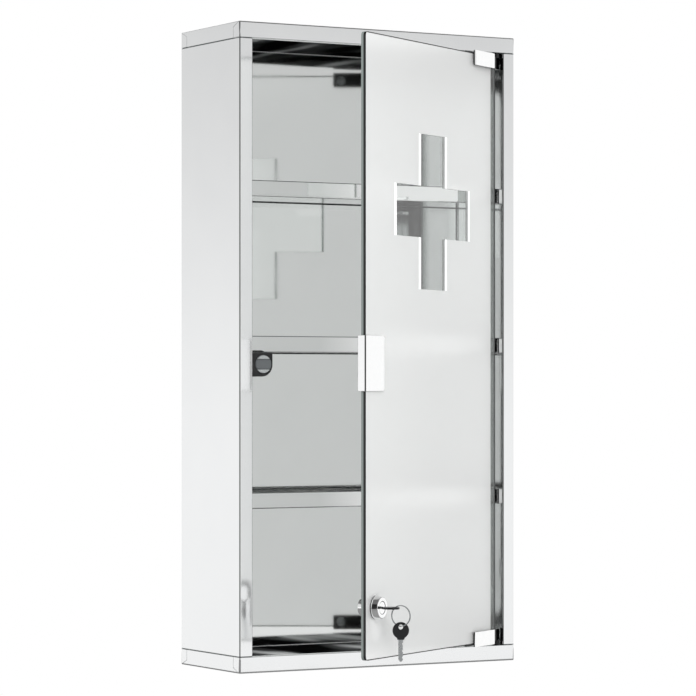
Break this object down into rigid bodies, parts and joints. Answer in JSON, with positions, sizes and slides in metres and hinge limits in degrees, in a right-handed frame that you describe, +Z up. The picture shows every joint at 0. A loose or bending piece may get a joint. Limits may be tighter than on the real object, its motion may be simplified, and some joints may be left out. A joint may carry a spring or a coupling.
{
  "type": "glass door medicine cabinet",
  "caption": "Shallow wall-hung steel cabinet with tray shelves and a lockable frosted glass door, hinged on the right, with a clear cross window and keys in the lock.",
  "frame": {"origin": "middle of the bottom cap's rear flange, on the wall plane", "axes": "+X to the viewer's right, +Y into the wall, +Z up; the door faces -Y"},
  "size_m": [0.3, 0.2737, 0.6],
  "materials": {
    "outer_steel": "satin stainless steel sheet",
    "inner_steel": "mirror-finished stainless steel sheet",
    "dark_steel": "dark mirror-finished steel sheet",
    "chrome": "polished chrome plate",
    "zinc_steel": "zinc-plated steel",
    "brass": "stamped brass",
    "frosted_glass": "toughened glass, frosted round a clear cross",
    "black_plastic": "moulded black plastic",
    "magnet": "sintered ferrite magnet",
    "rubber": "black rubber"
  },
  "bodies": {
    "cabinet": {"left_side_panel": "outer_steel", "right_side_panel": "outer_steel", "back_panel": "inner_steel", "top_cap": "outer_steel", "bottom_cap": "outer_steel", "ceiling_panel": "dark_steel", "floor_panel": "dark_steel", "lower_shelf": "inner_steel", "middle_shelf": "inner_steel", "upper_shelf": "inner_steel", "catch_housing": "black_plastic", "catch_magnet": "magnet", "upper_catch_pole": "zinc_steel", "lower_catch_pole": "zinc_steel", "catch_screw_1": "zinc_steel", "catch_screw_2": "zinc_steel", "upper_hinge_bush": "black_plastic", "lower_hinge_bush": "black_plastic"},
    "door": {"door_glass": "frosted_glass", "upper_hinge_plate": "chrome", "upper_hinge_front_gasket": "rubber", "upper_hinge_rear_gasket": "rubber", "upper_hinge_rear_plate": "black_plastic", "upper_hinge_pin": "zinc_steel", "upper_hinge_screw_1": "zinc_steel", "upper_hinge_screw_2": "zinc_steel", "lower_hinge_plate": "chrome", "lower_hinge_front_gasket": "rubber", "lower_hinge_rear_gasket": "rubber", "lower_hinge_rear_plate": "black_plastic", "lower_hinge_pin": "zinc_steel", "lower_hinge_screw_1": "zinc_steel", "lower_hinge_screw_2": "zinc_steel", "door_handle": "chrome", "handle_pad": "rubber", "lock_body": "chrome", "lock_gasket": "rubber", "lock_nut": "zinc_steel"},
    "lock_cylinder": {"lock_plug": "chrome", "lock_wafer_1": "brass", "lock_wafer_2": "brass", "lock_wafer_3": "brass", "lock_wafer_4": "brass", "lock_cam": "zinc_steel", "lock_cap": "chrome"},
    "key": {"key_head": "black_plastic", "key_blade": "zinc_steel"},
    "ring": {"key_ring": "chrome"},
    "spare_key": {"spare_key_head": "black_plastic", "spare_key_blade": "zinc_steel"}
  },
  "joints": [
    {"name": "door_swing", "type": "hinge", "parent": "cabinet", "child": "door", "pos_m": [0.1325, -0.1125, 0.2925], "axis": [0, 0, 1], "range_deg": [-31.2, 58.8]},
    {"name": "lock_turn", "type": "hinge", "parent": "door", "child": "lock_cylinder", "pos_m": [-0.08006, -0.24123, 0.0585], "axis": [-0.518, 0.8554, 0], "range_deg": [0, 90]},
    {"name": "key_pull", "type": "slide", "parent": "lock_cylinder", "child": "key", "axis": [0.518, -0.8554, 0], "range_m": [0, 0.022]},
    {"name": "ring_swing", "type": "hinge", "parent": "key", "child": "ring", "pos_m": [-0.06887, -0.25971, 0.0585], "axis": [-0.8554, -0.518, 0], "range_deg": [0, 90]},
    {"name": "spare_key_swing", "type": "hinge", "parent": "ring", "child": "spare_key", "pos_m": [-0.0655, -0.26527, 0.04279], "axis": [0.518, -0.8554, 0], "range_deg": [-40, 40]}
  ]
}
